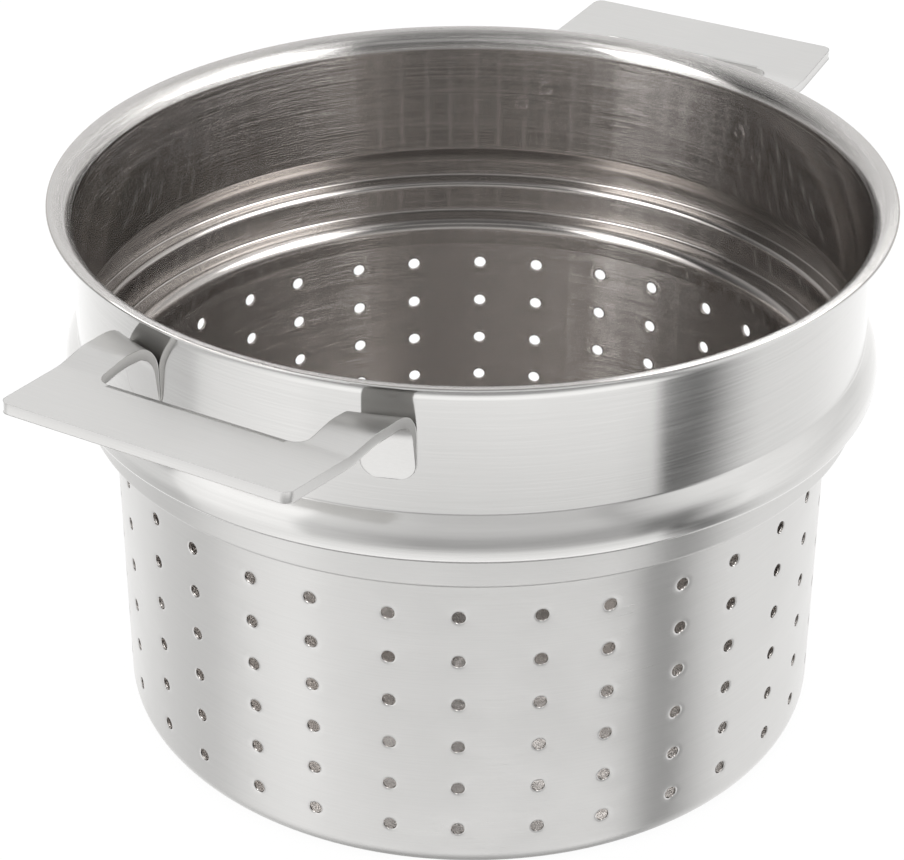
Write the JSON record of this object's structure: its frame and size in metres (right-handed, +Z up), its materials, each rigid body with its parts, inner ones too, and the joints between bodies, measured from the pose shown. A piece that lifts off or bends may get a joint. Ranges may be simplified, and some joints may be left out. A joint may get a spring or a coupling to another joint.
{
  "type": "steamer insert",
  "caption": "Deep stainless steel steamer basket with perforated wall and base, a stepped collar that seats on a pot rim, and welded plate handles.",
  "frame": {"origin": "centre of the base's underside, on the basket's axis", "axes": "+Z up along the basket's axis, X through both handles with the left handle on -X"},
  "size_m": [0.3372, 0.2538, 0.172],
  "materials": {
    "body_steel": "polished collar and rim, satin brushed basket",
    "handle_steel": "fine satin with bright edges",
    "weld_steel": "dull fused metal"
  },
  "bodies": {
    "root": {"insert_body": "body_steel", "left_handle": "handle_steel", "right_handle": "handle_steel", "left_handle_weld_1": "weld_steel", "left_handle_weld_2": "weld_steel", "left_handle_weld_3": "weld_steel", "left_handle_weld_4": "weld_steel", "right_handle_weld_1": "weld_steel", "right_handle_weld_2": "weld_steel", "right_handle_weld_3": "weld_steel", "right_handle_weld_4": "weld_steel"}
  },
  "joints": []
}
